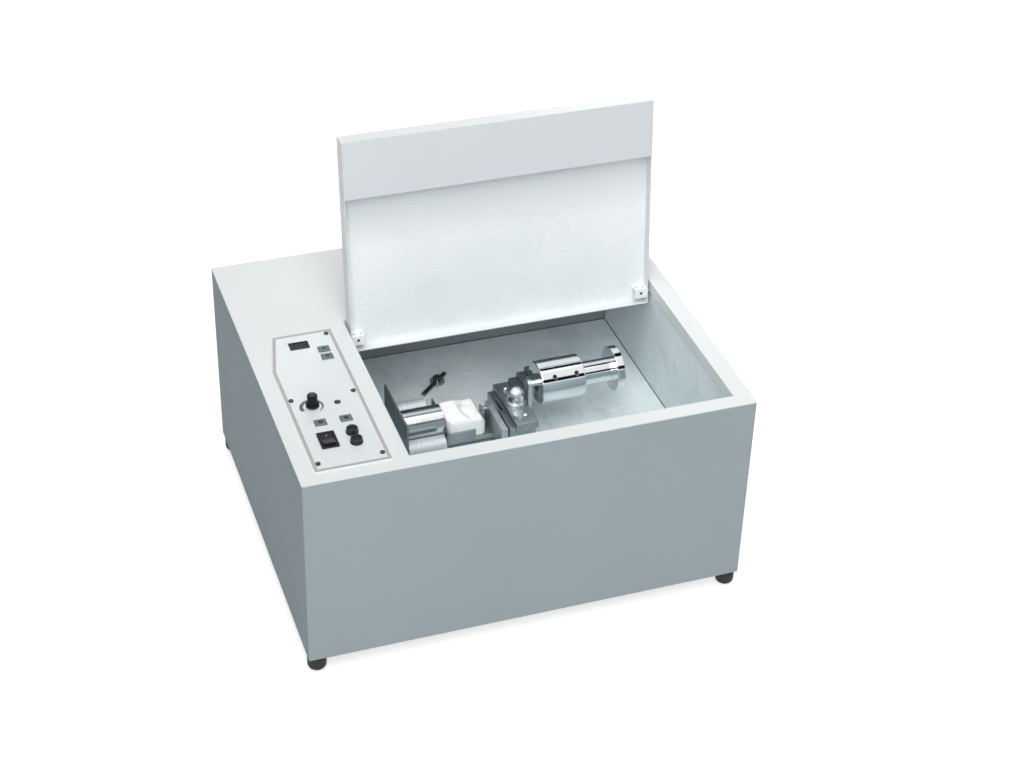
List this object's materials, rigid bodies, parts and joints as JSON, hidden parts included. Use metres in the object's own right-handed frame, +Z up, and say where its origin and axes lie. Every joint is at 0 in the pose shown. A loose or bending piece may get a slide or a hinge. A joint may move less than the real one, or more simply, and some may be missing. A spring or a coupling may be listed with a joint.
{
  "type": "centrifugal casting machine",
  "caption": "Bench-top centrifugal casting machine: sheet-metal cabinet with a sunken chamber, balanced casting arm with flask and crucible, hinged lid and control panel.",
  "frame": {"origin": "on the bench, at the middle of the footprint", "axes": "+X to the right of the operator, +Y to the rear, +Z up"},
  "size_m": [0.57, 0.49, 0.5484],
  "materials": {
    "white_enamel": "satin powder coat",
    "band_enamel": "satin powder coat",
    "hinge_white": "satin",
    "galvanised_sheet": "galvanised, finely mottled",
    "lid_lining": "galvanised, matt",
    "zinc_plate": "zinc plated",
    "black_rubber": "matt",
    "ground_steel": "ground",
    "handle_black": "fine grain",
    "panel_silver": "anodised, fine grain",
    "screw_dark": "blackened",
    "display_smoke": "smoked window",
    "lamp_lens": "smoked lens",
    "switch_black": "satin",
    "knob_black": "fine grain",
    "key_grey": "satin",
    "socket_black": "matt",
    "board_green": "lacquered board",
    "controller_alloy": "cast, bead blasted",
    "motor_grey": "painted",
    "arm_steel": "milled",
    "polished_chrome": "polished",
    "flask_steel": "turned",
    "mould_plaster": "cast plaster",
    "crucible_white": "fired ceramic, matt",
    "latch_dark": "blackened"
  },
  "bodies": {
    "cabinet": {"cabinet_shell": "white_enamel", "top_deck": "white_enamel", "base_plate": "zinc_plate", "rear_panel": "white_enamel", "rubber_feet": "black_rubber", "chamber_liner": "galvanised_sheet", "chamber_floor": "galvanised_sheet", "floor_supports": "zinc_plate", "lid_stop_buffers": "black_rubber", "hinge_pins": "ground_steel", "hinge_lugs": "zinc_plate", "control_panel": "panel_silver", "panel_screws": "screw_dark", "display_window": "display_smoke", "indicator_lamp": "lamp_lens", "switch_housing": "switch_black", "potentiometer": "ground_steel", "key_switches": "socket_black", "control_board": "board_green", "fuse_holders": "switch_black", "interlock_switch": "socket_black", "mains_inlet": "socket_black", "motor_controller": "controller_alloy", "motor_body": "motor_grey", "bearing_housing": "motor_grey", "shaft_bearings": "ground_steel"},
    "lid": {"lid_pan": "white_enamel", "lid_liner": "lid_lining", "lid_front_band": "band_enamel", "hinge_blocks": "hinge_white", "lid_handle": "handle_black"},
    "casting_arm": {"drive_shaft": "ground_steel", "arm_beam": "arm_steel", "hub_block": "arm_steel", "hub_bar": "arm_steel", "hub_nut": "polished_chrome", "hub_screws": "ground_steel", "rod_bracket": "arm_steel", "stepped_bracket": "arm_steel", "counterweight_rod": "polished_chrome", "guide_plate": "arm_steel", "nozzle_plate": "arm_steel", "flask_saddle": "arm_steel", "end_plate": "arm_steel", "cradle_tubes": "arm_steel"},
    "sliding_weight": {"counterweight": "polished_chrome", "weight_set_screws": "screw_dark"},
    "carriage": {"crucible_carriage": "arm_steel"},
    "melting_crucible": {"crucible": "crucible_white"},
    "flask": {"flask_sleeve": "flask_steel", "investment_mould": "mould_plaster"},
    "mains_rocker": {"rocker": "switch_black"},
    "speed_knob": {"knob": "knob_black"},
    "up_key": {"key_up": "key_grey"},
    "down_key": {"key_down": "key_grey"},
    "start_key": {"key_start": "key_grey"},
    "stop_key": {"key_stop": "key_grey"},
    "rear_fuse_cap": {"fuse_cap_rear": "switch_black"},
    "front_fuse_cap": {"fuse_cap_front": "switch_black"},
    "floor_latch": {"arm_latch": "latch_dark"}
  },
  "joints": [
    {"name": "lid_hinge", "type": "hinge", "parent": "cabinet", "child": "lid", "pos_m": [0, 0.051, 0.2765], "axis": [1, 0, 0], "range_deg": [0, 95.8]},
    {"name": "arm_spin", "type": "hinge", "parent": "cabinet", "child": "casting_arm", "pos_m": [0.0555, -0.014, 0.138], "axis": [0, 0, 1], "continuous": true},
    {"name": "weight_slide", "type": "slide", "parent": "casting_arm", "child": "sliding_weight", "axis": [0.9998, 0.0175, 0], "range_m": [0, 0.042]},
    {"name": "carriage_slide", "type": "slide", "parent": "casting_arm", "child": "carriage", "axis": [0.9998, 0.0175, 0], "range_m": [0, 0.006]},
    {"name": "crucible_lift", "type": "slide", "parent": "carriage", "child": "melting_crucible", "axis": [0, 0, 1], "range_m": [0, 0.045]},
    {"name": "flask_lift", "type": "slide", "parent": "casting_arm", "child": "flask", "axis": [0, 0, 1], "range_m": [0, 0.05]},
    {"name": "rocker_tilt", "type": "hinge", "parent": "cabinet", "child": "mains_rocker", "pos_m": [-0.2345, -0.1705, 0.2905], "axis": [1, 0, 0], "range_deg": [0, 16]},
    {"name": "knob_turn", "type": "hinge", "parent": "cabinet", "child": "speed_knob", "pos_m": [-0.235, -0.0995, 0.302], "axis": [0, 0, -1], "range_deg": [0, 300]},
    {"name": "up_key_press", "type": "slide", "parent": "cabinet", "child": "up_key", "axis": [0, 0, -1], "range_m": [0, 0.0012], "stiffness_N_per_m": 800},
    {"name": "down_key_press", "type": "slide", "parent": "cabinet", "child": "down_key", "axis": [0, 0, -1], "range_m": [0, 0.0012], "stiffness_N_per_m": 800},
    {"name": "start_key_press", "type": "slide", "parent": "cabinet", "child": "start_key", "axis": [0, 0, -1], "range_m": [0, 0.0012], "stiffness_N_per_m": 800},
    {"name": "stop_key_press", "type": "slide", "parent": "cabinet", "child": "stop_key", "axis": [0, 0, -1], "range_m": [0, 0.0012], "stiffness_N_per_m": 800},
    {"name": "rear_fuse_turn", "type": "hinge", "parent": "cabinet", "child": "rear_fuse_cap", "pos_m": [-0.203, -0.163, 0.302], "axis": [0, 0, 1], "range_deg": [0, 90]},
    {"name": "front_fuse_turn", "type": "hinge", "parent": "cabinet", "child": "front_fuse_cap", "pos_m": [-0.203, -0.183, 0.302], "axis": [0, 0, 1], "range_deg": [0, 90]},
    {"name": "latch_turn", "type": "hinge", "parent": "cabinet", "child": "floor_latch", "pos_m": [-0.011, 0.116, 0.14], "axis": [0, 0, 1], "range_deg": [0, 90]}
  ]
}
